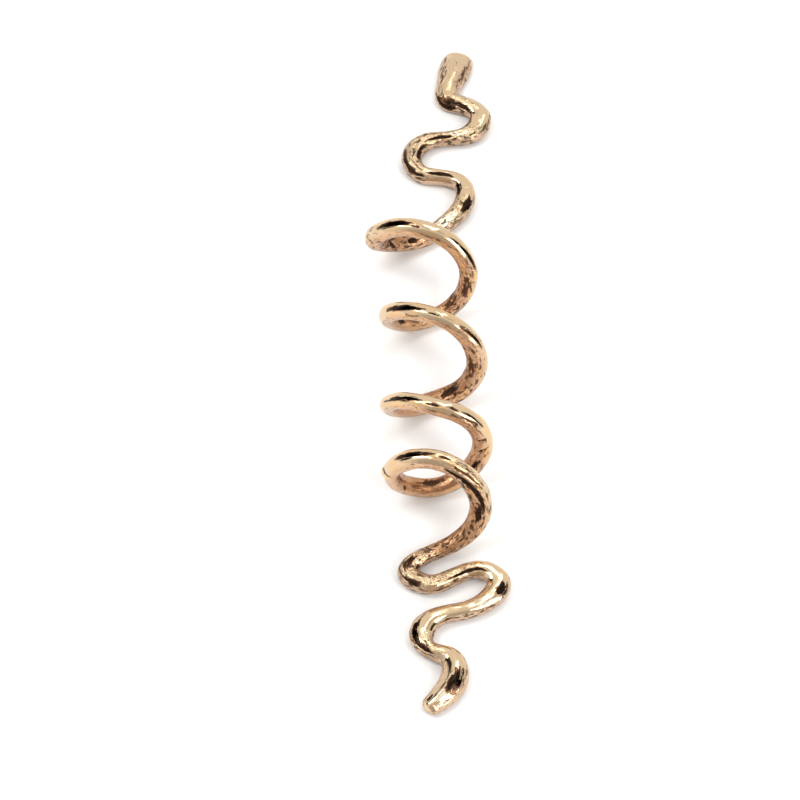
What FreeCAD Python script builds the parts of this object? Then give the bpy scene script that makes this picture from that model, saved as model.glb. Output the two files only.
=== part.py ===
import FreeCAD, Part
import math
import os

# A hair coil for braids, cast as one length of metal: a paddle end, a wave, four turns of
# coil, a second wave and a blunt head. All sizes are millimetres. X runs across the coil,
# Y along it towards the paddle, and Z up from the surface that the coil lies on.

COIL_RISE = 4.45      # from the coil's axis to the middle of the wire, above and below
COIL_FOOT = 0.9       # height of the wire's middle where the coil touches the surface
WIRE_SQUARE = 2.3     # 2 is an oval section, more is squarer with flatter faces
PADDLE_DOME = 0.9     # how far the rounded end stands out past the paddle's last row
HEAD_DOME = 0.7       # the same at the head
RING_STEP = 0.65      # distance between the rings of corners that carry the skin
RING_CORNERS = 18     # corners in each ring
DOME_RINGS = 4        # rings that close each end, the last one a point
SEWN = 0.0005         # how close the facets' edges meet
SWEEPS = 60           # passes that even out the bend of the route

AXIS_HIGH = COIL_FOOT + COIL_RISE

# The wave at the paddle end, a row for each bend and for each run between bends. It lies
# flat on the surface. wide is the wire's width seen from above and deep its height, square
# its squareness, and top the width of its upper face as a share of the lower one.
# place, x, y, wide, deep, square, top
FAR_WAVE = [
    ("paddle tip",    2.85, 47.7, 4.0, 1.3, 2.6, 0.55),
    ("paddle",        2.45, 46.3, 4.5, 1.7, 2.4, 0.45),
    ("waist",         1.7, 43.7, 3.4, 1.9, 2.3, 0.5),
    ("neck",          1.6, 41.8, 2.6, 1.9, 2.3, 0.8),
    ("run to bend 1", 3.3, 41.0, 1.9, 1.8, 2.3, 1.0),
    ("bend 1",        5.1, 39.4, 2.3, 1.8, 2.3, 1.0),
    ("after bend 1",  4.4, 37.4, 2.3, 1.8, 2.3, 1.0),
    ("run to bend 2", 2.0, 36.4, 1.5, 1.8, 2.3, 1.0),
    ("before bend 2", -1.0, 35.8, 2.0, 1.8, 2.3, 1.0),
    ("bend 2",        -2.4, 33.6, 2.2, 1.8, 2.3, 1.0),
    ("after bend 2",  -1.6, 31.7, 1.9, 1.8, 2.3, 1.0),
    ("run to bend 3", 0.7, 31.1, 1.6, 1.8, 2.3, 1.0),
    ("before bend 3", 3.0, 30.1, 1.9, 1.8, 2.3, 1.0),
    ("bend 3",        3.3, 28.0, 2.1, 1.8, 2.3, 1.0),
    ("run to coil",   1.8, 25.5, 2.0, 1.8, 2.3, 1.0),
]

# The coil, a row for each quarter turn: the side that the wire passes, where it passes
# and its section there, wide along the axis and deep away from it.
# side, x, y, wide, deep
COIL = [
    ("under", -0.6, 23.4, 2.0, 1.8),
    ("left", -6.3, 19.8, 2.1, 2.0),
    ("over", -1.3, 17.7, 1.8, 1.8),
    ("right", 3.4, 15.2, 1.8, 1.9),
    ("under", -0.6, 12.7, 1.7, 1.8),
    ("left", -4.9, 10.1, 1.8, 1.9),
    ("over", -0.3, 7.1, 1.7, 1.7),
    ("right", 4.1, 4.4, 1.9, 2.2),
    ("under", -0.4, 2.5, 2.1, 1.8),
    ("left", -4.8, -0.6, 1.6, 1.8),
    ("over", -0.1, -3.6, 1.7, 1.7),
    ("right", 4.5, -5.1, 1.9, 2.1),
    ("under", 0.0, -7.5, 1.9, 1.8),
    ("left", -4.5, -8.5, 1.9, 1.7),
    ("over", -0.3, -9.6, 1.9, 1.9),
    ("right", 4.2, -12.2, 1.8, 2.2),
    ("under", -0.1, -14.8, 1.6, 1.8),
]
SIDES = {"left": (-1, 0), "right": (1, 0), "over": (0, 1), "under": (0, -1)}

# The wave at the head end, with the same columns as the far wave.
NEAR_WAVE = [
    ("run to bend 4", -1.7, -15.6, 1.7, 1.8, 2.3, 1.0),
    ("bend 4",        -2.9, -17.2, 2.1, 1.8, 2.3, 1.0),
    ("after bend 4",  -1.3, -18.4, 1.95, 1.8, 2.3, 1.0),
    ("run to bend 5", 1.7, -17.6, 1.7, 1.8, 2.3, 1.0),
    ("before bend 5", 5.0, -17.1, 1.9, 1.8, 2.3, 1.0),
    ("bend 5",        5.95, -18.3, 2.35, 1.8, 2.3, 1.0),
    ("after bend 5",  4.8, -20.2, 2.1, 1.8, 2.3, 1.0),
    ("run to bend 6", 2.4, -21.4, 1.7, 1.8, 2.3, 1.0),
    ("before bend 6", -0.5, -22.3, 2.0, 1.8, 2.3, 1.0),
    ("bend 6",        -1.6, -24.1, 2.4, 1.8, 2.3, 1.0),
    ("after bend 6",  -0.9, -25.5, 1.7, 1.8, 2.3, 1.0),
    ("nape",          1.2, -26.5, 2.3, 1.9, 2.2, 0.85),
    ("crown",         1.55, -28.4, 3.3, 2.1, 2.1, 0.6),
    ("brow",          0.45, -30.3, 3.15, 1.9, 2.0, 0.55),
    ("snout",         -0.7, -31.4, 2.4, 1.6, 2.0, 0.6),
]


def wave_rows(wave):
    """Rows of a wave: its middle, section and outward direction, down as under the coil."""
    return [(x, y, deep / 2, wide, deep, square, top) + SIDES["under"]
            for _, x, y, wide, deep, square, top in wave]


def pass_row(side, x, y, wide, deep):
    """The row where the coil passes one of its four sides."""
    out_x, out_z = SIDES[side]
    return (x, y, AXIS_HIGH + out_z * COIL_RISE, wide, deep, WIRE_SQUARE, 1.0, out_x, out_z)


def halfway_row(first, second):
    """The row midway between two passes, on the quarter ellipse that joins them."""
    crest, flank = (first, second) if first[0] in ("over", "under") else (second, first)
    eighth = math.sqrt(0.5)
    middle = [(a + b) / 2 for a, b in zip(pass_row(*first), pass_row(*second))]
    middle[0] = crest[1] + (flank[1] - crest[1]) * eighth
    middle[2] = AXIS_HIGH + SIDES[crest[0]][1] * COIL_RISE * eighth
    return tuple(middle)


def coil_rows():
    """Rows of the coil, an eighth of a turn apart."""
    rows = [pass_row(*COIL[0])]
    for first, second in zip(COIL, COIL[1:]):
        rows += [halfway_row(first, second), pass_row(*second)]
    return rows


def even_slopes(rows, gaps):
    """The slope of every column at every row, so that the curve through the rows bends evenly."""
    last = len(rows) - 1
    slopes = [[0.0] * len(rows[0]) for _ in rows]
    for _ in range(SWEEPS):
        for i, row in enumerate(rows):
            for c, value in enumerate(row):
                if i in (0, last):
                    near = 1 if i == 0 else last - 1
                    chord = (rows[near][c] - value) / gaps[min(i, last - 1)]
                    chord = chord if i == 0 else -chord
                    slopes[i][c] = (3 * chord - slopes[near][c]) / 2
                    continue
                before, after = gaps[i - 1], gaps[i]
                rise = (value - rows[i - 1][c]) / before
                fall = (rows[i + 1][c] - value) / after
                pull = 3 * (after * rise + before * fall)
                pull -= after * slopes[i - 1][c] + before * slopes[i + 1][c]
                slopes[i][c] = pull / (2 * (before + after))
    return slopes


def between(start, start_slope, end, end_slope, gap, share):
    """The row a share of the way along one gap, with every column eased by its slopes."""
    rest = 1 - share
    weights = (rest * rest * (1 + 2 * share), rest * rest * share * gap,
               share * share * (1 + 2 * rest), -share * share * rest * gap)
    return [weights[0] * a + weights[1] * b + weights[2] * c + weights[3] * d
            for a, b, c, d in zip(start, start_slope, end, end_slope)]


def stations(rows):
    """Rows close together along the whole route."""
    gaps = [math.dist(a[:3], b[:3]) for a, b in zip(rows, rows[1:])]
    slopes = even_slopes(rows, gaps)
    fine = []
    for i, gap in enumerate(gaps):
        count = max(1, round(gap / RING_STEP))
        for k in range(count):
            fine.append(between(rows[i], slopes[i], rows[i + 1], slopes[i + 1], gap, k / count))
    fine.append(list(rows[-1]))
    return fine


def ring(row, along, shift=0.0, scale=1.0):
    """Corners round one station, moved along the route by shift and scaled for the end domes."""
    x, y, z, wide, deep, square, top, out_x, out_z = row
    out = FreeCAD.Vector(out_x, 0, out_z)
    out = (out - along * out.dot(along)).normalize()
    side = along.cross(out)
    middle = FreeCAD.Vector(x, y, z) + along * shift
    corners = []
    for k in range(RING_CORNERS):
        angle = 2 * math.pi * k / RING_CORNERS
        across, away = math.cos(angle), math.sin(angle)
        across = math.copysign(abs(across) ** (2 / square), across)
        away = math.copysign(abs(away) ** (2 / square), away)
        across *= 1 - (1 - top) * (1 - away) / 2
        corner = side * (across * wide / 2) + out * (away * deep / 2)
        corners.append(middle + corner * scale)
    return corners


def dome(row, along, length):
    """Rings that round an end off, from the largest to the smallest, and the point of the end."""
    rings = []
    for k in range(1, DOME_RINGS):
        angle = math.pi / 2 * k / DOME_RINGS
        rings.append(ring(row, along, length * math.sin(angle), math.cos(angle)))
    return rings, FreeCAD.Vector(*row[:3]) + along * length


def directions(fine):
    """The unit direction of the route at every station."""
    points = [FreeCAD.Vector(*row[:3]) for row in fine]
    ends = zip([points[0]] + points[:-1], points[1:] + [points[-1]])
    return [(after - before).normalize() for before, after in ends]


def skin(start_point, rings, end_point):
    """A closed solid of triangles over the rings, from the start point to the end point."""
    corners = [start_point] + [corner for one in rings for corner in one] + [end_point]
    last_ring = len(corners) - 1 - RING_CORNERS
    facets = []
    for k in range(RING_CORNERS):
        beside = (k + 1) % RING_CORNERS
        facets.append((0, 1 + beside, 1 + k))
        facets.append((len(corners) - 1, last_ring + k, last_ring + beside))
        for first in range(1, last_ring, RING_CORNERS):
            after = first + RING_CORNERS
            facets.append((first + k, first + beside, after + beside))
            facets.append((first + k, after + beside, after + k))
    shell = Part.Shape()
    shell.makeShapeFromMesh((corners, facets), SEWN)
    solid = Part.Solid(shell)
    return solid if solid.Volume > 0 else solid.reversed()


def coil_wire():
    """The whole casting."""
    fine = stations(wave_rows(FAR_WAVE) + coil_rows() + wave_rows(NEAR_WAVE))
    along = directions(fine)
    rings = [ring(row, way) for row, way in zip(fine, along)]
    paddle_rings, paddle_point = dome(fine[0], along[0], -PADDLE_DOME)
    head_rings, head_point = dome(fine[-1], along[-1], HEAD_DOME)
    return skin(paddle_point, paddle_rings[::-1] + rings + head_rings, head_point)


def on_its_base(solid):
    """The solid moved so that the middle of its base is the origin."""
    box = solid.BoundBox
    solid.translate(FreeCAD.Vector(-box.Center.x, -box.Center.y, -box.ZMin))
    return solid


os.makedirs("parts", exist_ok=True)
on_its_base(coil_wire()).exportStep("parts/coil_wire.step")
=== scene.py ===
import math

import bpy
import numpy as np
from mathutils import Matrix, Vector


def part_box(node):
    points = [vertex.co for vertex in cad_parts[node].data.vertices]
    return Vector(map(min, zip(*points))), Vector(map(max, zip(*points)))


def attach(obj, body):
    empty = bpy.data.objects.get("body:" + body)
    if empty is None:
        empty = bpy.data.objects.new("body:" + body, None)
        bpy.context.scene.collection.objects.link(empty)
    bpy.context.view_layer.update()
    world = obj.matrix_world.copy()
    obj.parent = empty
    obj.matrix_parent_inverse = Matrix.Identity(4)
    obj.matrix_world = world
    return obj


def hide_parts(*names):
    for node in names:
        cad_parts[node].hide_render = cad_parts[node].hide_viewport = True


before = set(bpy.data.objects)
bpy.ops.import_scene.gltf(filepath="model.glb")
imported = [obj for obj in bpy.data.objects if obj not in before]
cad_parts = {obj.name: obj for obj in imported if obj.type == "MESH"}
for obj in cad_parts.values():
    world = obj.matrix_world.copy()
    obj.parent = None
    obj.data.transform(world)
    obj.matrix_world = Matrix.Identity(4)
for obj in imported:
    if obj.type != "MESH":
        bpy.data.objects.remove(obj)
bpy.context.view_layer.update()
MM = 0.001


# The route of the wire. The real piece is one length of metal, cast in a mould as a paddle,
# a flat wave, four turns of coil, a second flat wave and a blunt head, with no joint between
# them. Each row gives the wire's middle and its section there, in millimetres.

COIL_RISE = 4.45      # from the coil's axis to the middle of the wire, above and below
COIL_FOOT = 0.9       # height of the wire's middle where the coil touches the surface
AXIS_HIGH = COIL_FOOT + COIL_RISE
COIL_SQUARE = 2.3     # 2 is an oval section, more is squarer with flatter faces
STATION_STEP = 0.16   # between the rings of corners along the wire
RING_CORNERS = 64
PADDLE_DOME = 0.9     # how far the rounded end stands out past the row of the paddle's tip
HEAD_DOME = 0.7       # the same past the row of the snout
DOME_RINGS = 14

# place, x, y, width seen from above, height, squareness, upper face as a share of the lower
FAR_WAVE = [
    ("paddle tip",    2.85, 47.7, 4.0, 1.3, 2.6, 0.55),
    ("paddle",        2.45, 46.3, 4.5, 1.7, 2.4, 0.45),
    ("waist",         1.7, 43.7, 3.4, 1.9, 2.3, 0.5),
    ("neck",          1.6, 41.8, 2.6, 1.9, 2.3, 0.8),
    ("run to bend 1", 3.3, 41.0, 1.9, 1.8, 2.3, 1.0),
    ("bend 1",        5.1, 39.4, 2.3, 1.8, 2.3, 1.0),
    ("after bend 1",  4.4, 37.4, 2.3, 1.8, 2.3, 1.0),
    ("run to bend 2", 2.0, 36.4, 1.5, 1.8, 2.3, 1.0),
    ("before bend 2", -1.0, 35.8, 2.0, 1.8, 2.3, 1.0),
    ("bend 2",        -2.4, 33.6, 2.2, 1.8, 2.3, 1.0),
    ("after bend 2",  -1.6, 31.7, 1.9, 1.8, 2.3, 1.0),
    ("run to bend 3", 0.7, 31.1, 1.6, 1.8, 2.3, 1.0),
    ("before bend 3", 3.0, 30.1, 1.9, 1.8, 2.3, 1.0),
    ("bend 3",        3.3, 28.0, 2.1, 1.8, 2.3, 1.0),
    ("run to coil",   1.8, 25.5, 2.0, 1.8, 2.3, 1.0),
]
# side that the wire passes, x, y, width along the axis, depth away from it
COIL = [
    ("under", -0.6, 23.4, 2.0, 1.8),
    ("left", -6.3, 19.8, 2.1, 2.0),
    ("over", -1.3, 17.7, 1.8, 1.8),
    ("right", 3.4, 15.2, 1.8, 1.9),
    ("under", -0.6, 12.7, 1.7, 1.8),
    ("left", -4.9, 10.1, 1.8, 1.9),
    ("over", -0.3, 7.1, 1.7, 1.7),
    ("right", 4.1, 4.4, 1.9, 2.2),
    ("under", -0.4, 2.5, 2.1, 1.8),
    ("left", -4.8, -0.6, 1.6, 1.8),
    ("over", -0.1, -3.6, 1.7, 1.7),
    ("right", 4.5, -5.1, 1.9, 2.1),
    ("under", 0.0, -7.5, 1.9, 1.8),
    ("left", -4.5, -8.5, 1.9, 1.7),
    ("over", -0.3, -9.6, 1.9, 1.9),
    ("right", 4.2, -12.2, 1.8, 2.2),
    ("under", -0.1, -14.8, 1.6, 1.8),
]
# outwards on each side, as x and z
SIDES = {"left": (-1, 0), "right": (1, 0), "over": (0, 1), "under": (0, -1)}
# the same columns as the far wave
NEAR_WAVE = [
    ("run to bend 4", -1.7, -15.6, 1.7, 1.8, 2.3, 1.0),
    ("bend 4",        -2.9, -17.2, 2.1, 1.8, 2.3, 1.0),
    ("after bend 4",  -1.3, -18.4, 1.95, 1.8, 2.3, 1.0),
    ("run to bend 5", 1.7, -17.6, 1.7, 1.8, 2.3, 1.0),
    ("before bend 5", 5.0, -17.1, 1.9, 1.8, 2.3, 1.0),
    ("bend 5",        5.95, -18.3, 2.35, 1.8, 2.3, 1.0),
    ("after bend 5",  4.8, -20.2, 2.1, 1.8, 2.3, 1.0),
    ("run to bend 6", 2.4, -21.4, 1.7, 1.8, 2.3, 1.0),
    ("before bend 6", -0.5, -22.3, 2.0, 1.8, 2.3, 1.0),
    ("bend 6",        -1.6, -24.1, 2.4, 1.8, 2.3, 1.0),
    ("after bend 6",  -0.9, -25.5, 1.7, 1.8, 2.3, 1.0),
    ("nape",          1.2, -26.5, 2.3, 1.9, 2.2, 0.85),
    ("crown",         1.55, -28.4, 3.3, 2.1, 2.1, 0.6),
    ("brow",          0.45, -30.3, 3.15, 1.9, 2.0, 0.55),
    ("snout",         -0.7, -31.4, 2.4, 1.6, 2.0, 0.6),
]


# A row of the route holds the wire's middle as x, y and z, its width, height, squareness and
# upper face, then the outward direction as x and z, and 1 in the coil or 0 in a wave.
PLACE, SECTION_SIZE = slice(0, 3), slice(3, 5)
WIDE, DEEP, SQUARE, TOP, OUT_X, OUT_Z, IN_COIL = range(3, 10)


def wave_rows(wave):
    """Rows of a wave: its middle, section and outward direction, down as under the coil."""
    return [(x, y, high / 2, wide, high, square, top) + SIDES["under"] + (0.0,)
            for _, x, y, wide, high, square, top in wave]


def pass_row(side, x, y, wide, deep):
    """The row where the coil passes one of its four sides."""
    out_x, out_z = SIDES[side]
    return (x, y, AXIS_HIGH + out_z * COIL_RISE, wide, deep, COIL_SQUARE, 1.0, out_x, out_z, 1.0)


def halfway_row(first, second):
    """The row midway between two passes, on the quarter ellipse that joins them."""
    crest, flank = (first, second) if first[0] in ("over", "under") else (second, first)
    eighth = math.sqrt(0.5)
    middle = (np.array(pass_row(*first)) + pass_row(*second)) / 2
    middle[0] = crest[1] + (flank[1] - crest[1]) * eighth
    middle[2] = AXIS_HIGH + SIDES[crest[0]][1] * COIL_RISE * eighth
    return middle


def even_slopes(rows, gaps):
    """The slope of every column at every row, so that the curve through the rows bends evenly."""
    rise = np.diff(rows, axis=0) / gaps[:, None]
    pull = np.zeros((len(rows), len(rows)))
    wanted = np.zeros_like(rows)
    pull[0, :2], wanted[0] = (2, 1), 3 * rise[0]
    pull[-1, -2:], wanted[-1] = (1, 2), 3 * rise[-1]
    for i in range(1, len(rows) - 1):
        before, after = gaps[i - 1], gaps[i]
        pull[i, i - 1:i + 2] = after, 2 * (before + after), before
        wanted[i] = 3 * (after * rise[i - 1] + before * rise[i])
    return np.linalg.solve(pull, wanted)


def stations(rows):
    """Rows close together along the whole route."""
    rows = np.array(rows, float)
    gaps = np.linalg.norm(np.diff(rows[:, PLACE], axis=0), axis=1)
    slopes = even_slopes(rows, gaps)
    fine = []
    for i, gap in enumerate(gaps):
        share = np.arange(0, 1, 1 / round(gap / STATION_STEP))[:, None]
        rest = 1 - share
        through = rest * rest * (1 + 2 * share) * rows[i] + share * share * (1 + 2 * rest) * rows[i + 1]
        bent = rest * share * gap * (rest * slopes[i] - share * slopes[i + 1])
        fine.append(through + bent)
    return np.vstack(fine + [rows[-1:]])


route = wave_rows(FAR_WAVE) + [pass_row(*COIL[0])]
for first, second in zip(COIL, COIL[1:]):
    route += [halfway_row(first, second), pass_row(*second)]
route = stations(route + wave_rows(NEAR_WAVE))
ahead = np.gradient(route[:, PLACE], axis=0)
ahead /= np.linalg.norm(ahead, axis=1)[:, None]

# The rounded ends are more stations, which shrink to a point.
angles = np.linspace(0, math.pi / 2, DOME_RINGS + 1)[1:]
for end, length in ((0, -PADDLE_DOME), (-1, HEAD_DOME)):
    cap = np.repeat(route[[end]], DOME_RINGS, axis=0)
    cap[:, PLACE] += ahead[end] * length * np.sin(angles)[:, None]
    cap[:, SECTION_SIZE] *= np.cos(angles)[:, None]
    straight = np.repeat(ahead[[end]], DOME_RINGS, axis=0)
    if end == 0:
        route, ahead = np.vstack([cap[::-1], route]), np.vstack([straight, ahead])
    else:
        route, ahead = np.vstack([route, cap]), np.vstack([ahead, straight])

middle = route[:, PLACE]
out = np.stack([route[:, OUT_X], np.zeros(len(route)), route[:, OUT_Z]], axis=1)
out -= ahead * (out * ahead).sum(axis=1)[:, None]
out /= np.linalg.norm(out, axis=1)[:, None]
side = np.cross(ahead, out)
along = np.concatenate([[0], np.cumsum(np.linalg.norm(np.diff(middle, axis=0), axis=1))])

route_mesh = bpy.data.meshes.new("wire_route")
route_mesh.from_pydata(middle * MM, [(i, i + 1) for i in range(len(middle) - 1)], [])


def carry(mesh, name, values):
    """Writes a value or a vector for every point of a mesh."""
    kind, key = ("FLOAT", "value") if values.ndim == 1 else ("FLOAT_VECTOR", "vector")
    mesh.attributes.new(name, kind, "POINT").data.foreach_set(key, values.ravel())


route_values = {
    "wide": route[:, WIDE] * MM,
    "deep": route[:, DEEP] * MM,
    "square": route[:, SQUARE],
    "top": route[:, TOP],
    "coil": np.clip(route[:, IN_COIL], 0, 1),
    "along": along * MM,
    "middle": middle * MM,
    "out": out,
    "side": side,
}
for name, values in route_values.items():
    carry(route_mesh, name, values)


# The skin of the wire. The metal shrank as it cooled in the mould and the ring was tumbled
# and polished by hand, so the rounded square section swells, dents and ripples a little all
# along, small pits are left in it, and some stretches stayed rough. Sizes in millimetres.

DENT_SIZE, DENT_DEPTH = 2.2, 0.15
RIPPLE_SIZE, RIPPLE_DEPTH = 0.7, 0.05
PIT_SIZE, PIT_DEPTH, PIT_SHARE = 0.42, 0.07, 0.3
PIT_FLOOR, PIT_RIM = 0.1, 0.45    # as shares of a pit's size
SKIN_SEED = 7.0
STRETCH = 0.4                     # ripples are this much finer across the wire than along it
WALL_START, WALL_FULL = 0.8, 0.2  # from the middle of the polished face, 1, to the walls, 0
WALL_ROUGHNESS = 0.5
WELD = 0.002                      # corners nearer than this become one

# for each, what a fully rough stretch adds, and what a smooth one has
RIPPLE_GAIN = (2.2, 0.6)
PIT_SHARE_GAIN = (1.6, 0.4)
PIT_DEPTH_GAIN = (0.8, 0.3)

# stretches that stayed rough: start and end from the paddle's end, and how rough
ROUGH_STRETCHES = [
    ("paddle's bevel",     1.5, 6.0, 0.35),
    ("neck",               7.0, 10.5, 0.7),
    ("bend 1 to bend 2",   13.5, 25.0, 1.0),
    ("run into the coil",  31.0, 38.5, 0.75),
    ("first pass left",    39.0, 49.0, 0.7),
    ("first turn inside",  60.0, 68.0, 0.5),
    ("second turn inside", 88.0, 98.0, 0.5),
    ("last turn",          144.0, 155.0, 0.7),
    ("run and bend 4",     155.0, 165.0, 1.0),
    ("run to bend 5",      165.0, 169.0, 0.5),
    ("bend 6",             182.0, 185.0, 0.5),
]
ROUGH_FADE = 1.2      # over which a rough stretch fades out

roughness = np.zeros(len(along))
for name, start, stop, amount in ROUGH_STRETCHES:
    inside = np.clip(np.minimum(along - start, stop - along) / ROUGH_FADE + 0.5, 0, 1)
    roughness = np.maximum(roughness, inside * amount)
carry(route_mesh, "rough", roughness)


class NodeTools:
    """Adds nodes to one tree. Each value is a number or the output of another node."""

    def __init__(self, tree):
        self.tree = tree

    def add(self, kind, links=(), **settings):
        """A node with its settings, and its inputs linked or set by name or number."""
        made = self.tree.nodes.new(kind)
        for name, value in settings.items():
            setattr(made, name, value)
        for key, value in dict(links).items():
            if isinstance(value, bpy.types.NodeSocket):
                self.tree.links.new(value, made.inputs[key])
            else:
                made.inputs[key].default_value = value
        return made

    def calc(self, operation, *values, use_clamp=False):
        """The result of a math node."""
        made = self.add("ShaderNodeMath", enumerate(values), operation=operation, use_clamp=use_clamp)
        return made.outputs[0]

    def chain(self, operation, *values):
        """The same operation over several values, from the first to the last."""
        result = values[0]
        for value in values[1:]:
            result = self.calc(operation, result, value)
        return result

    def times(self, *values):
        """The product of several values."""
        return self.chain("MULTIPLY", *values)

    def plus(self, *values):
        """The sum of several values."""
        return self.chain("ADD", *values)

    def line(self, value, slope, start):
        """A straight line: the value times the slope, plus the start."""
        return self.calc("MULTIPLY_ADD", value, slope, start)

    def centred(self, noise, amount):
        """Noise times an amount, shifted so that it swings about zero."""
        return self.line(noise, amount, -amount / 2)

    def ramp(self, value, low, high, from_value=0.0, to_value=1.0):
        """Goes softly from one value to the other while the input goes from low to high."""
        inputs = {"Value": value, "From Min": low, "From Max": high,
                  "To Min": from_value, "To Max": to_value}
        made = self.add("ShaderNodeMapRange", inputs, interpolation_type="SMOOTHSTEP")
        return made.outputs["Result"]

    def scaled(self, vector, size):
        """A vector times a number."""
        inputs = {"Vector": vector, "Scale": size}
        return self.add("ShaderNodeVectorMath", inputs, operation="SCALE").outputs["Vector"]

    def summed(self, first, second):
        """The sum of two vectors."""
        inputs = {0: first, 1: second}
        return self.add("ShaderNodeVectorMath", inputs, operation="ADD").outputs["Vector"]


def skin_tree(material):
    """Sweeps the section along the route, then dents, ripples and pits the surface."""
    tree = bpy.data.node_groups.new("cast_wire_skin", "GeometryNodeTree")
    tree.interface.new_socket("Route", in_out="INPUT", socket_type="NodeSocketGeometry")
    tree.interface.new_socket("Ring Corners", in_out="INPUT", socket_type="NodeSocketInt")
    for name in ("Dent Size", "Dent Depth", "Ripple Size", "Ripple Depth",
                 "Pit Size", "Pit Depth", "Pit Share", "Stretch", "Seed"):
        tree.interface.new_socket(name, in_out="INPUT", socket_type="NodeSocketFloat")
    tree.interface.new_socket("Wire", in_out="OUTPUT", socket_type="NodeSocketGeometry")
    nodes = NodeTools(tree)
    given = nodes.add("NodeGroupInput").outputs

    def read(name, kind="FLOAT"):
        """A value that the points carry."""
        made = nodes.add("GeometryNodeInputNamedAttribute", {"Name": name}, data_type=kind)
        return made.outputs["Attribute"]

    def read_vector(name):
        """A vector that the points carry."""
        return read(name, "FLOAT_VECTOR")

    def store(geometry, name, value, kind="FLOAT"):
        """The geometry with one more value on its points."""
        inputs = {"Geometry": geometry, "Name": name, "Value": value}
        made = nodes.add("GeometryNodeStoreNamedAttribute", inputs, data_type=kind, domain="POINT")
        return made.outputs["Geometry"]

    def noise(size, detail, vector=None):
        """Noise of a given size, from about -0.5 to 0.5."""
        inputs = {"W": given["Seed"], "Scale": nodes.calc("DIVIDE", 1.0, size), "Detail": detail}
        if vector:
            inputs["Vector"] = vector
        made = nodes.add("ShaderNodeTexNoise", inputs, noise_dimensions="4D")
        return nodes.calc("SUBTRACT", made.outputs[0], 0.5)

    # a ring of corners on every point of the route
    circle = nodes.add("GeometryNodeCurvePrimitiveCircle", {"Resolution": given["Ring Corners"]})
    corner = nodes.add("GeometryNodeInputIndex").outputs["Index"]
    profile = store(circle.outputs["Curve"], "around", nodes.calc("DIVIDE", corner, given["Ring Corners"]))
    curve = nodes.add("GeometryNodeMeshToCurve", {"Mesh": given["Route"]}).outputs["Curve"]
    tube = nodes.add("GeometryNodeCurveToMesh", {"Curve": curve, "Profile Curve": profile}).outputs["Mesh"]

    # the section: a rounded square, narrower at the top where the row says so
    angle = nodes.times(read("around"), -2 * math.pi)
    power = nodes.calc("DIVIDE", 2.0, read("square"))
    reach = {}
    for name, wave in (("across", "COSINE"), ("away", "SINE")):
        raw = nodes.calc(wave, angle)
        size = nodes.calc("POWER", nodes.calc("ABSOLUTE", raw), power)
        reach[name] = nodes.times(nodes.calc("SIGN", raw), size)
    narrowing = nodes.times(nodes.calc("SUBTRACT", 1.0, read("top")),
                            nodes.calc("SUBTRACT", 1.0, reach["away"]))
    half_wide = nodes.times(read("wide"), 0.5)
    half_deep = nodes.times(read("deep"), 0.5)
    across = nodes.times(reach["across"], nodes.line(narrowing, -0.5, 1.0), half_wide)
    away = nodes.times(reach["away"], half_deep)
    beside = nodes.summed(read_vector("middle"), nodes.scaled(read_vector("side"), across))
    place = nodes.summed(beside, nodes.scaled(read_vector("out"), away))
    section = nodes.add("GeometryNodeSetPosition", {"Geometry": tube, "Position": place}).outputs["Geometry"]
    closed = nodes.add("GeometryNodeMergeByDistance", {"Geometry": section, "Distance": WELD * MM})

    # for the finish: how near the middle of the polished face, which is the top of a wave and
    # the outer side of the coil, and a place along which streaks are drawn out
    # the material also paints shade by this value: a darker gold on the walls and brown on the coil's inner
    # side
    polished = nodes.times(reach["away"], nodes.line(read("coil"), 2.0, -1.0))
    drawn_out = nodes.add("ShaderNodeCombineXYZ", {"X": nodes.times(read("along"), given["Stretch"]),
                                                   "Y": across, "Z": away}).outputs["Vector"]
    walls = nodes.times(nodes.ramp(polished, WALL_START, WALL_FULL), WALL_ROUGHNESS)
    marked = store(closed.outputs["Geometry"], "polish", polished)
    marked = store(marked, "lay", drawn_out, "FLOAT_VECTOR")
    marked = store(marked, "rough", nodes.calc("ADD", read("rough"), walls, use_clamp=True))

    # the dents, ripples and pits, pushed along the surface's own direction
    rough = read("rough")
    dents = nodes.times(noise(given["Dent Size"], 1.0), given["Dent Depth"])
    ripples = nodes.times(noise(given["Ripple Size"], 3.0, read_vector("lay")), given["Ripple Depth"],
                          nodes.line(rough, *RIPPLE_GAIN))
    inputs = {"W": given["Seed"], "Scale": nodes.calc("DIVIDE", 1.0, given["Pit Size"])}
    cells = nodes.add("ShaderNodeTexVoronoi", inputs, voronoi_dimensions="4D", feature="F1")
    number = nodes.add("FunctionNodeSeparateColor", {"Color": cells.outputs["Color"]}).outputs[0]
    share = nodes.times(given["Pit Share"], nodes.line(rough, *PIT_SHARE_GAIN))
    pits = nodes.times(nodes.ramp(cells.outputs["Distance"], PIT_FLOOR, PIT_RIM, 1.0, 0.0),
                       nodes.calc("LESS_THAN", number, share))
    pit_depth = nodes.times(given["Pit Depth"], nodes.line(rough, *PIT_DEPTH_GAIN))
    push = nodes.calc("SUBTRACT", nodes.plus(dents, ripples), nodes.times(pits, pit_depth))
    offset = nodes.scaled(nodes.add("GeometryNodeInputNormal").outputs["Normal"], push)
    marked = store(marked, "pit", pits)
    dented = nodes.add("GeometryNodeSetPosition", {"Geometry": marked, "Offset": offset})
    smooth = nodes.add("GeometryNodeSetShadeSmooth", {"Geometry": dented.outputs["Geometry"]})
    real = nodes.add("GeometryNodeRealizeInstances", {"Geometry": smooth.outputs["Geometry"]})
    inputs = {"Geometry": real.outputs["Geometry"], "Material": material}
    coated = nodes.add("GeometryNodeSetMaterial", inputs)
    nodes.add("NodeGroupOutput", {"Wire": coated.outputs["Geometry"]})
    return tree
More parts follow.
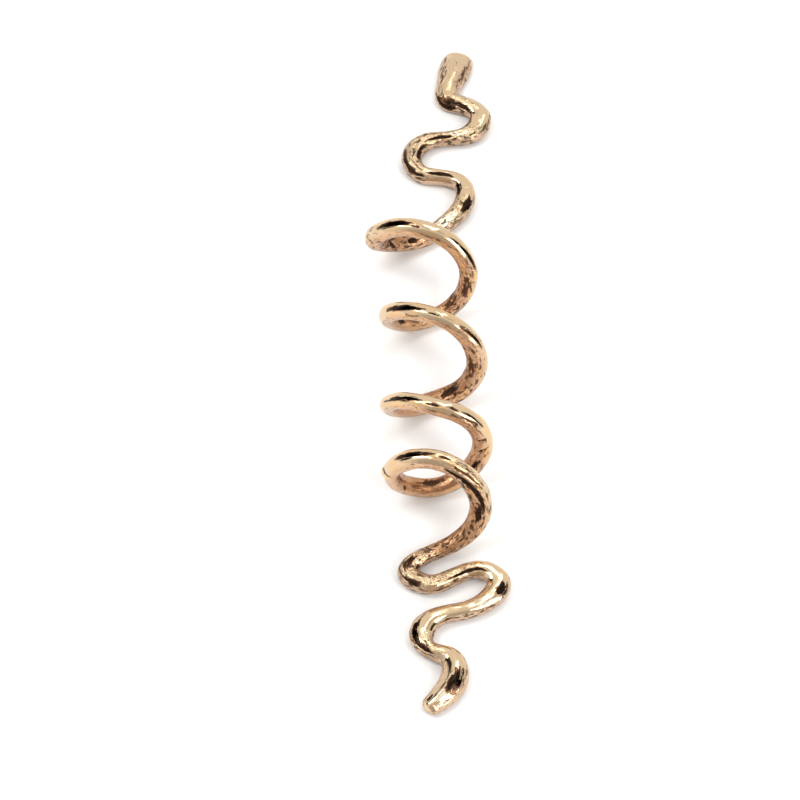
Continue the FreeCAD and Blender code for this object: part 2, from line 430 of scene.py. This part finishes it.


# The finish of the wire: thin antique gold over the casting, bright where it was polished
# by hand, dull on the walls, and brown in the pits, where no polishing wheel reached.
# Soot-dark patina stays in the cracks and marks. Part of the colour is painted light: the
# darker gold of the walls is partly painted shade, the brown of the coil's inner side is
# patina and painted shade, a thin dark line along the edges and some dark marks are painted
# dark reflections, and the glints are painted highlights.

GOLD = (0.69, 0.515, 0.325, 1)
# the walls' darker gold, partly a duller finish and partly painted shade
DULL_SHADED_GOLD = (0.64, 0.455, 0.31, 1)
ORANGE_GOLD = (0.67, 0.43, 0.265, 1)
AMBER = (0.78, 0.46, 0.19, 1)
PAINTED_HIGHLIGHT_GOLD = (0.94, 0.83, 0.63, 1)
BROWN = (0.34, 0.21, 0.13, 1)
ORANGE_BROWN = (0.42, 0.20, 0.09, 1)
DEEP_BROWN = (0.135, 0.062, 0.033, 1)
UMBER = (0.11, 0.055, 0.03, 1)
SOOT_AND_DARK_REFLECTION = (0.02, 0.012, 0.008, 1)

# the size of each kind of noise in millimetres, and its detail
STREAK, FLECK, TINGE = (0.5, 3.0), (0.26, 4.0), (0.8, 3.0)    # drawn out along the wire
GRAIN, CLOUD = (0.13, 2.0), (1.6, 2.0)                        # the same all ways
CLOUD_SHIFT = 0.8     # how far clouds move the line between polished and dull
PAINTED_EDGE_SHIFT = 0.9      # how far streaks move the dark line along the edges
RAGGED = 1.9          # how far flecks fray the outline of a mark

# where each kind begins and where it is full, first on the scale of polish, which is 1 on the
# polished face, 0 on the walls and -1 on the opposite side
DULL_AND_SHADED_RANGE = (0.85, 0.3)
INNER_SHADE_RANGE = (0.0, -0.85)
PAINTED_EDGE_START, PAINTED_EDGE_STOP = (0.62, 0.52), (0.3, 0.42)
# then on the scale of its noise
WORN_RANGE = (0.46, 0.62)
FRECKLE_RANGE = (0.52, 0.64)
TINGE_RANGE = (0.52, 0.62)
SOOT_RANGE = (0.70, 0.74)
CLOUD_RANGE = (0.48, 0.58)
UMBER_RANGE = (0.56, 0.72)
# and then on the scale of a mark's darkness
MARK_RANGE = (0.32, 0.52)
WEAK_RANGE = (0.72, 0.5)

# how strongly each kind shows
INNER_SHADE_BROWN, WORN_BROWN = 1.4, 0.4
SOOT_DARK, PAINTED_EDGE_DARK = 0.85, 0.75
SOOT_SHIFT = 0.16     # how much sooner soot begins on a rough stretch

# for each, what a fully rough stretch adds, and what a smooth one has
FRECKLE_GAIN = (0.4, 0.05)
PIT_BROWN_GAIN = (0.6, 0.2)
STREAK_HEIGHT_GAIN = (1.0, 0.15)
FLECK_HEIGHT_GAIN = (0.5, 0.05)
GRAIN_HEIGHT_GAIN = (0.4, 0.02)
# and for these, what the coil adds, and what a wave has
INNER_SHADE_GAIN = (0.4, 0.6)
TINGE_GAIN = (0.35, 0.15)

# the shine: how rough polished metal is, and what the other kinds add
POLISHED_ROUGHNESS, DULL_ROUGHNESS, WORN_ROUGHNESS = 0.09, 0.09, 0.1
GRAIN_ROUGHNESS = (0.16, -0.06)
RELIEF = 0.13         # height of the streaks, in millimetres
DARK_SINK = 0.35      # how far patina lies below the metal, as a share of that

MIX_SHARE, MIX_FIRST, MIX_SECOND, MIX_COLOUR = 0, 6, 7, 2     # sockets of a node that mixes colours

gold = bpy.data.materials.new("antique_gold")
gold.use_nodes = True
shader = gold.node_tree.nodes["Principled BSDF"]
shader.inputs["Metallic"].default_value = 1.0
nodes = NodeTools(gold.node_tree)


def read(name, output="Fac"):
    """A value that the wire's surface carries."""
    return nodes.add("ShaderNodeAttribute", attribute_name=name).outputs[output]


def speckle(vector, size, detail):
    """Noise of a given size in millimetres."""
    inputs = {"Vector": vector, "Scale": 1 / (size * MM), "Detail": detail}
    return nodes.add("ShaderNodeTexNoise", inputs).outputs[0]


def mixed(share, first, second):
    """A mix of two colours."""
    inputs = {MIX_SHARE: share, MIX_FIRST: first, MIX_SECOND: second}
    return nodes.add("ShaderNodeMix", inputs, data_type="RGBA").outputs[MIX_COLOUR]


lay = read("lay", "Vector")
spot = nodes.add("ShaderNodeTexCoord").outputs["Object"]
streaks = speckle(lay, *STREAK)
flecks = speckle(lay, *FLECK)
grain = speckle(spot, *GRAIN)
cloud = speckle(spot, *CLOUD)
rough = read("rough")
coil = read("coil")
# the marks' darkness: patina of real marks, painted dark reflections and, below 0, painted highlights
marked = read("mark")

# how dull, brown, worn or dark each place is, from 0 to 1
polish = nodes.plus(read("polish"), nodes.centred(cloud, CLOUD_SHIFT))
dull_and_shaded = nodes.ramp(polish, *DULL_AND_SHADED_RANGE)
# brown on the coil's inner side: partly patina and partly painted shade, darker inside the coil where little
# light falls
inner_shade_and_patina = nodes.times(nodes.ramp(polish, *INNER_SHADE_RANGE), nodes.line(coil, *INNER_SHADE_GAIN))
worn = nodes.times(rough, nodes.ramp(streaks, *WORN_RANGE))
freckled = nodes.times(nodes.line(rough, *FRECKLE_GAIN), nodes.ramp(grain, *FRECKLE_RANGE))
sunk = nodes.times(read("pit"), nodes.line(rough, *PIT_BROWN_GAIN))
brown = nodes.chain("MAXIMUM", nodes.times(inner_shade_and_patina, nodes.times(streaks, INNER_SHADE_BROWN)),
                    nodes.times(worn, WORN_BROWN), freckled, sunk)
tinge = nodes.ramp(speckle(lay, *TINGE), *TINGE_RANGE)
tinged = nodes.times(tinge, nodes.line(coil, *TINGE_GAIN))
sooty = nodes.ramp(nodes.line(rough, SOOT_SHIFT, flecks), *SOOT_RANGE)
frayed = nodes.centred(flecks, RAGGED)
mark = nodes.ramp(nodes.plus(marked, frayed), *MARK_RANGE)
# glints: painted highlights, bright gold where a mark's darkness is below 0
painted_highlight = nodes.ramp(nodes.calc("SUBTRACT", frayed, marked), *MARK_RANGE)
# a thin dark line along the edges between the polished face and the walls: a painted dark reflection
painted_edge_line = nodes.plus(read("polish"), nodes.centred(streaks, PAINTED_EDGE_SHIFT))
painted_edge_line = nodes.times(nodes.ramp(painted_edge_line, *PAINTED_EDGE_START), nodes.ramp(painted_edge_line, *PAINTED_EDGE_STOP),
                   nodes.ramp(cloud, *CLOUD_RANGE, 0.0, PAINTED_EDGE_DARK))
weak = nodes.times(mark, nodes.ramp(marked, *WEAK_RANGE))
dark = nodes.chain("MAXIMUM", nodes.times(sooty, SOOT_DARK), painted_edge_line, mark)

# the walls take a darker gold: partly a duller finish, partly painted shade standing in for the shaded floor
# that they reflect
colour = mixed(dull_and_shaded, GOLD, mixed(coil, DULL_SHADED_GOLD, ORANGE_GOLD))
colour = mixed(tinged, colour, AMBER)
colour = mixed(nodes.calc("MINIMUM", brown, 1.0), colour, mixed(coil, BROWN, ORANGE_BROWN))
# painted highlights
colour = mixed(painted_highlight, colour, PAINTED_HIGHLIGHT_GOLD)
# the dark colour serves both real patina and the painted dark reflections of the edge line and some marks
patina_and_painted_dark = mixed(nodes.ramp(grain, *UMBER_RANGE), SOOT_AND_DARK_REFLECTION, UMBER)
patina_and_painted_dark = mixed(nodes.calc("MAXIMUM", weak, painted_edge_line), patina_and_painted_dark, DEEP_BROWN)
colour = mixed(dark, colour, patina_and_painted_dark)
gold.node_tree.links.new(colour, shader.inputs["Base Color"])

shine = nodes.plus(nodes.line(dull_and_shaded, DULL_ROUGHNESS, POLISHED_ROUGHNESS),
                   nodes.times(worn, WORN_ROUGHNESS), nodes.line(grain, *GRAIN_ROUGHNESS))
gold.node_tree.links.new(shine, shader.inputs["Roughness"])

raised = nodes.plus(nodes.times(streaks, nodes.line(rough, *STREAK_HEIGHT_GAIN)),
                    nodes.times(flecks, nodes.line(rough, *FLECK_HEIGHT_GAIN)),
                    nodes.times(grain, nodes.line(rough, *GRAIN_HEIGHT_GAIN)))
height = nodes.calc("SUBTRACT", raised, nodes.times(dark, DARK_SINK))
bump = nodes.add("ShaderNodeBump", {"Strength": 1.0, "Distance": RELIEF * MM, "Height": height})
gold.node_tree.links.new(bump.outputs["Normal"], shader.inputs["Normal"])

holder = bpy.data.objects.new("wire_maker", route_mesh)
bpy.context.collection.objects.link(holder)
maker = holder.modifiers.new("skin", "NODES")
maker.node_group = skin_tree(gold)
chosen_values = {
    "Ring Corners": RING_CORNERS,
    "Dent Size": DENT_SIZE * MM,
    "Dent Depth": DENT_DEPTH * MM,
    "Ripple Size": RIPPLE_SIZE * MM,
    "Ripple Depth": RIPPLE_DEPTH * MM,
    "Pit Size": PIT_SIZE * MM,
    "Pit Depth": PIT_DEPTH * MM,
    "Pit Share": PIT_SHARE,
    "Stretch": STRETCH,
    "Seed": SKIN_SEED,
}
for item in maker.node_group.interface.items_tree:
    if item.name in chosen_values:
        maker[item.identifier] = chosen_values[item.name]
graph = bpy.context.evaluated_depsgraph_get()
wire = bpy.data.objects.new("gold_wire", bpy.data.meshes.new_from_object(holder.evaluated_get(graph)))
bpy.context.collection.objects.link(wire)
bpy.data.objects.remove(holder)


# The marks that the mould and the files left on the wire: seams, creases, nicks and pitted
# patches, pressed into it and dark with patina, and a nub that stands up. Some rows are
# painted light instead: dark streaks and dashes on the coil's crests and flanks, a line at
# bend 5 and the crown patch are painted dark reflections, and the glints are painted
# highlights.

MARK_REACH, MARK_FADE = 1.35, 0.9     # where a mark ends, in its own half sizes, and its soft rim
# name, place along the wire in millimetres from the paddle's end and around it as a share,
# length, width, slant in degrees, depth, where a mark below 0 stands up, and darkness, where
# a mark below 0 is a painted highlight. Around it, 0.25 is the upper face of a wave and the
# inner side of the coil, 0.75 is the opposite side, and 0 and 0.5 are the walls.
MARKS = [
    ("pits on the paddle's right",   3.3, 0.06, 3.4, 0.8, 0, 0.06, 0.5),
    ("pits on the paddle's left",    5.0, 0.38, 4.4, 0.7, 0, 0.06, 0.5),
    ("neck hollow",                  7.6, 0.36, 1.6, 1.1, 0, 0.08, 0.72),
    ("neck left side",               7.4, 0.45, 2.2, 1.0, 0, 0.04, 0.9),
    ("neck crease",                  9.2, 0.37, 3.6, 0.7, 10, 0.09, 0.8),
    ("bend 1 nick",                  12.2, 0.09, 1.2, 0.35, 0, 0.05, 0.52),
    ("bend 1 scar",                  14.8, 0.20, 2.8, 0.4, 10, 0.1, 0.48),
    # painted highlight
    ("bend 1 glints",                15.5, 0.24, 2.6, 0.9, 0, 0.0, -0.55),
    ("run 1 streak",                 17.5, 0.19, 3.4, 0.5, 0, 0.1, 1),
    ("bend 2 inside",                21.3, 0.13, 4, 0.7, 0, 0.07, 0.85),
    ("bend 2 outside",               23.4, 0.37, 4.2, 0.6, 0, 0.07, 0.95),
    ("bend 3 streak",                26.6, 0.28, 3.4, 0.5, 0, 0.06, 1),
    ("bend 3 inside",                30.1, 0.38, 3.2, 0.7, 0, 0.06, 0.8),
    ("bend 3 patch",                 32.3, 0.16, 2.2, 1, 0, 0.05, 1),
    ("run into the coil",            36.8, 0.13, 2.8, 0.3, 0, 0.06, 0.6),
    # painted highlight
    ("glints on the run",            35.7, 0.24, 4.8, 1.2, 0, 0.0, -0.62),
    ("first pass hole",              39.9, 0.17, 1.6, 0.8, 0, 0.16, 0.9),
    ("first pass scratches",         43.1, 0.16, 2.4, 0.45, 35, 0.12, 0.95),
    ("first pass second scratch",    44.3, 0.10, 2.2, 0.35, -25, 0.1, 0.85),
    ("first pass seam",              47.5, 0.84, 1.4, 0.35, 60, 0.1, 0.6),
    # painted dark reflections on the crest and flank
    ("first crest streak",           51.3, 0.77, 4.2, 0.54, 0, 0.01, 0.9),
    ("first crest dash",             53.4, 0.81, 1.2, 0.3, 0, 0.02, 0.75),
    ("first flank streak",           59.3, 0.84, 3.4, 0.54, 0, 0.01, 0.8),
    ("first turn inside",            62.7, 0.03, 3.8, 1, 0, 0.1, 0.6),
    ("first turn low",               65.5, 0.20, 3.6, 1.1, 0, 0.07, 0.6),
    ("second pass dark",             73.5, 0.20, 1.6, 0.7, 0, 0.08, 0.78),
    # painted dark reflections on the crest and flank
    ("second crest streak",          80.9, 0.77, 4.6, 0.54, 0, 0.01, 0.9),
    ("second crest dash",            84.0, 0.80, 1.2, 0.3, 0, 0.02, 0.68),
    ("second flank streak",          87.7, 0.83, 3.2, 0.45, 0, 0.01, 0.8),
    ("second turn inside",           91.2, 0.09, 4, 1, 0, 0.1, 0.6),
    ("second turn low",              96.3, 0.22, 4, 1, 0, 0.07, 0.7),
    # painted dark reflections on the crest and flank
    ("third crest streak",           110.4, 0.77, 4.8, 0.45, 0, 0.01, 0.8),
    ("third crest dash",             113.6, 0.81, 1.4, 0.35, 0, 0.03, 0.95),
    ("third crest second dash",      115.4, 0.79, 1.1, 0.25, 10, 0.02, 0.62),
    ("third flank streak",           117.2, 0.88, 2.4, 0.45, 0, 0.01, 0.6),
    ("upper cross crease",           119.9, 0.00, 1.4, 0.25, 90, 0.12, 0.7),
    ("lower cross crease",           121.3, 0.00, 1.5, 0.3, 60, 0.12, 0.7),
    ("flank pits",                   123.5, 0.05, 2, 0.6, 10, 0.08, 0.7),
    ("last turn inside",             129.3, 0.27, 3.4, 0.8, 0, 0.06, 0.66),
    ("last turn nick",               132.9, 0.09, 1.3, 0.3, 40, 0.1, 0.78),
    ("last turn seam",               136.8, 0.86, 1.6, 0.35, 80, 0.10, 0.85),
    ("last turn nub",                136.2, 0.76, 1.0, 0.9, 0, -0.16, 0),
    # painted dark reflections on the crest and flank
    ("last crest streak",            140.6, 0.75, 4, 0.5, 0, 0.01, 0.8),
    ("last crest dash",              143.4, 0.76, 1.2, 0.3, 0, 0.03, 0.9),
    ("last flank dark",              146.8, 0.97, 7.5, 0.5, 0, 0.05, 1),
    ("last flank line",              145.5, 0.86, 5.0, 0.3, 0, 0.04, 0.6),
    ("last flank pits",              150.4, 0.03, 3.4, 0.9, 0, 0.07, 0.68),
    ("last flank low",               153.2, 0.09, 3, 0.7, 0, 0.07, 0.42),
    ("run to bend 4 pits",           156.8, 0.00, 3, 0.5, 0, 0.07, 0.45),
    ("bend 4 upper",                 160.5, 0.28, 2.2, 0.9, 0, 0.07, 0.66),
    ("bend 4 lower",                 162.4, 0.36, 2.2, 0.8, 0, 0.07, 0.7),
    ("bend 4 inside",                160.6, 0.10, 2, 0.6, 0, 0.07, 0.66),
    # painted dark reflection
    ("bend 5 inner line",            167.8, 0.31, 5, 0.4, 0, 0.05, 0.9),
    ("bend 5 spot",                  172.5, 0.19, 1.4, 0.8, 0, 0.04, 1),
    # painted highlight
    ("bend 5 glints",                174.2, 0.22, 2.6, 0.8, 0, 0.0, -0.5),
    ("bend 6 outside",               182.4, 0.34, 4.2, 0.7, 0, 0.06, 0.85),
    ("run to bend 5 wall",           166.5, 0.44, 9.0, 0.9, 0, 0.04, 0.34),
    ("run to bend 6 wall",           178.5, 0.04, 12.0, 0.9, 0, 0.04, 0.34),
    # painted dark reflection
    ("crown patch",                  188.7, 0.19, 2.8, 2.1, 0, 0.03, 0.8),
    # painted highlight
    ("snout glints",                 190.8, 0.25, 2.4, 1.2, 0, 0.0, -0.55),
    ("snout specks",                 191.4, 0.35, 1, 0.6, 0, 0.04, 0.7),
]

count = len(wire.data.vertices)
points, normals = np.empty(count * 3), np.empty(count * 3)
wire.data.vertices.foreach_get("co", points)
wire.data.vertices.foreach_get("normal", normals)
points, normals = points.reshape(-1, 3), normals.reshape(-1, 3)
carried = {}
for name in ("along", "around", "wide", "deep"):
    carried[name] = np.empty(count)
    wire.data.attributes[name].data.foreach_get("value", carried[name])
girth = math.pi / 2 * (carried["wide"] + carried["deep"]) / MM
darkness_and_painted_light = np.zeros(count)
for name, mark_along, mark_around, length, width, slant, depth, dark in MARKS:
    along_wire = carried["along"] / MM - mark_along
    round_wire = ((carried["around"] - mark_around + 0.5) % 1 - 0.5) * girth
    turn = math.radians(slant)
    lengthways = along_wire * math.cos(turn) + round_wire * math.sin(turn)
    crossways = round_wire * math.cos(turn) - along_wire * math.sin(turn)
    from_middle = np.hypot(lengthways / (length / 2), crossways / (width / 2))
    pressed = np.clip((MARK_REACH - from_middle) / MARK_FADE, 0, 1)
    pressed = pressed ** 2 * (3 - 2 * pressed)
    points -= normals * (pressed * depth * MM)[:, None]
    darkness_and_painted_light = np.where(np.abs(pressed * dark) > np.abs(darkness_and_painted_light), pressed * dark, darkness_and_painted_light)
wire.data.vertices.foreach_set("co", points.ravel())
carry(wire.data, "mark", darkness_and_painted_light)
wire.data.update()

# The finished wire is moved to the middle of the solid that it stands for, on the floor.
low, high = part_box("coil_wire")
shift = Vector((low + high) / 2) - Vector((points.min(axis=0) + points.max(axis=0)) / 2)
shift.z = low.z - points[:, 2].min()
wire.data.transform(Matrix.Translation(shift))
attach(wire, "root")
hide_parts("coil_wire")


# The floor is a wide sheet of plain pale paper. It lies flat under the ring, which rests on
# it by its own weight.

FLOOR_HALF = 0.6
PAPER = (0.93, 0.93, 0.93, 1)
PAPER_ROUGHNESS = 0.9

floor_mesh = bpy.data.meshes.new("floor")
floor_corners = [(x * FLOOR_HALF, y * FLOOR_HALF, 0) for x, y in ((-1, -1), (1, -1), (1, 1), (-1, 1))]
floor_mesh.from_pydata(floor_corners, [], [(0, 1, 2, 3)])
floor = bpy.data.objects.new("floor", floor_mesh)
bpy.context.collection.objects.link(floor)
paper = bpy.data.materials.new("pale_paper")
paper.use_nodes = True
paper.node_tree.nodes["Principled BSDF"].inputs["Base Color"].default_value = PAPER
paper.node_tree.nodes["Principled BSDF"].inputs["Roughness"].default_value = PAPER_ROUGHNESS
floor_mesh.materials.append(paper)


# The light. The ring lies in a tent of white cloth, with gaps between its sheets, and four
# softboxes stand outside it. The gaps are what the polished metal shows as dark streaks.

TENT = (1.06, 1.05, 1.035, 1)
# name, compass direction with 0 away from the camera and 90 to the right, height, full
# within and gone beyond so many degrees, share of the light that is missing
GAPS = [
    ("left gap",        -60, 34, 12, 22, 0.98),
    ("left low gap",    -80, 20, 10, 20, 0.95),
    ("right gap",       88, 30, 12, 22, 0.98),
    ("right low gap",   104, 12, 8, 18, 0.9),
    ("roof seam",       65, 64, 4, 14, 0.35),
    ("roof corner",     -25, 82, 3, 12, 0.3),
    ("camera side",     180, 25, 25, 60, 0.45),
]
# name, compass direction, height, width, length in metres, power in watts
SOFTBOXES = [
    ("left softbox",    -85, 56, 0.14, 0.3, 0.85),
    ("roof strip",      32, 60, 0.03, 0.3, 0.2),
    ("back softbox",    14, 60, 0.09, 0.09, 0.1),
    ("right softbox",   127, 36, 0.22, 0.34, 1.2),
]
SOFTBOX_DISTANCE = 0.5


def towards(compass, height):
    """The direction at a compass direction and a height, both in degrees."""
    compass, height = math.radians(compass), math.radians(height)
    right, ahead, up = math.sin(compass), math.cos(compass), math.sin(height)
    return Vector((right * math.cos(height), ahead * math.cos(height), up))


def nearness(degrees):
    """How well two directions agree that are so many degrees apart: 1 is the same."""
    return math.cos(math.radians(degrees))


world = bpy.data.worlds.new("studio")
bpy.context.scene.world = world
world.use_nodes = True
backdrop = world.node_tree.nodes["Background"]
nodes = NodeTools(world.node_tree)
direction = nodes.add("ShaderNodeTexCoord").outputs["Generated"]
light_shares = []
for name, compass, height, full, gone, missing in GAPS:
    inputs = {0: direction, 1: towards(compass, height)}
    facing = nodes.add("ShaderNodeVectorMath", inputs, operation="DOT_PRODUCT").outputs["Value"]
    light_shares.append(nodes.ramp(facing, nearness(gone), nearness(full), 1.0, 1.0 - missing))
seen = nodes.add("ShaderNodeLightPath").outputs["Is Camera Ray"]
strength = nodes.calc("MAXIMUM", seen, nodes.times(*light_shares))
backdrop.inputs["Color"].default_value = TENT
world.node_tree.links.new(strength, backdrop.inputs["Strength"])

for name, compass, height, width, length, power in SOFTBOXES:
    light = bpy.data.lights.new(name, "AREA")
    light.shape, light.size, light.size_y = "RECTANGLE", width, length
    light.energy = power
    lamp = bpy.data.objects.new(name, light)
    lamp.location = towards(compass, height) * SOFTBOX_DISTANCE
    lamp.rotation_euler = towards(compass, height).to_track_quat("Z", "Y").to_euler()
    bpy.context.collection.objects.link(lamp)


# The camera stands in front of the ring and looks down at it, at the photograph's angle. It
# aims at a point left of the ring's middle, so that the ring stands right of the centre.

CAMERA_HEIGHT = 58            # degrees above the floor
CAMERA_DISTANCE = 250         # from the target, both in millimetres
TARGET = (-3.61, -8.21, 5.33)
LENS, SENSOR = 112.5, 36.0
NEAR_LIMIT = 0.01             # metres, nearer than anything in the picture

camera = bpy.data.cameras.new("camera")
camera.sensor_width, camera.lens = SENSOR, LENS
camera.clip_start = NEAR_LIMIT
viewer = bpy.data.objects.new("camera", camera)
back = towards(180, CAMERA_HEIGHT)
viewer.location = Vector(TARGET) * MM + back * CAMERA_DISTANCE * MM
viewer.rotation_euler = (-back).to_track_quat("-Z", "Y").to_euler()
bpy.context.collection.objects.link(viewer)
bpy.context.scene.camera = viewer
bpy.context.scene.view_settings.view_transform = "Standard"
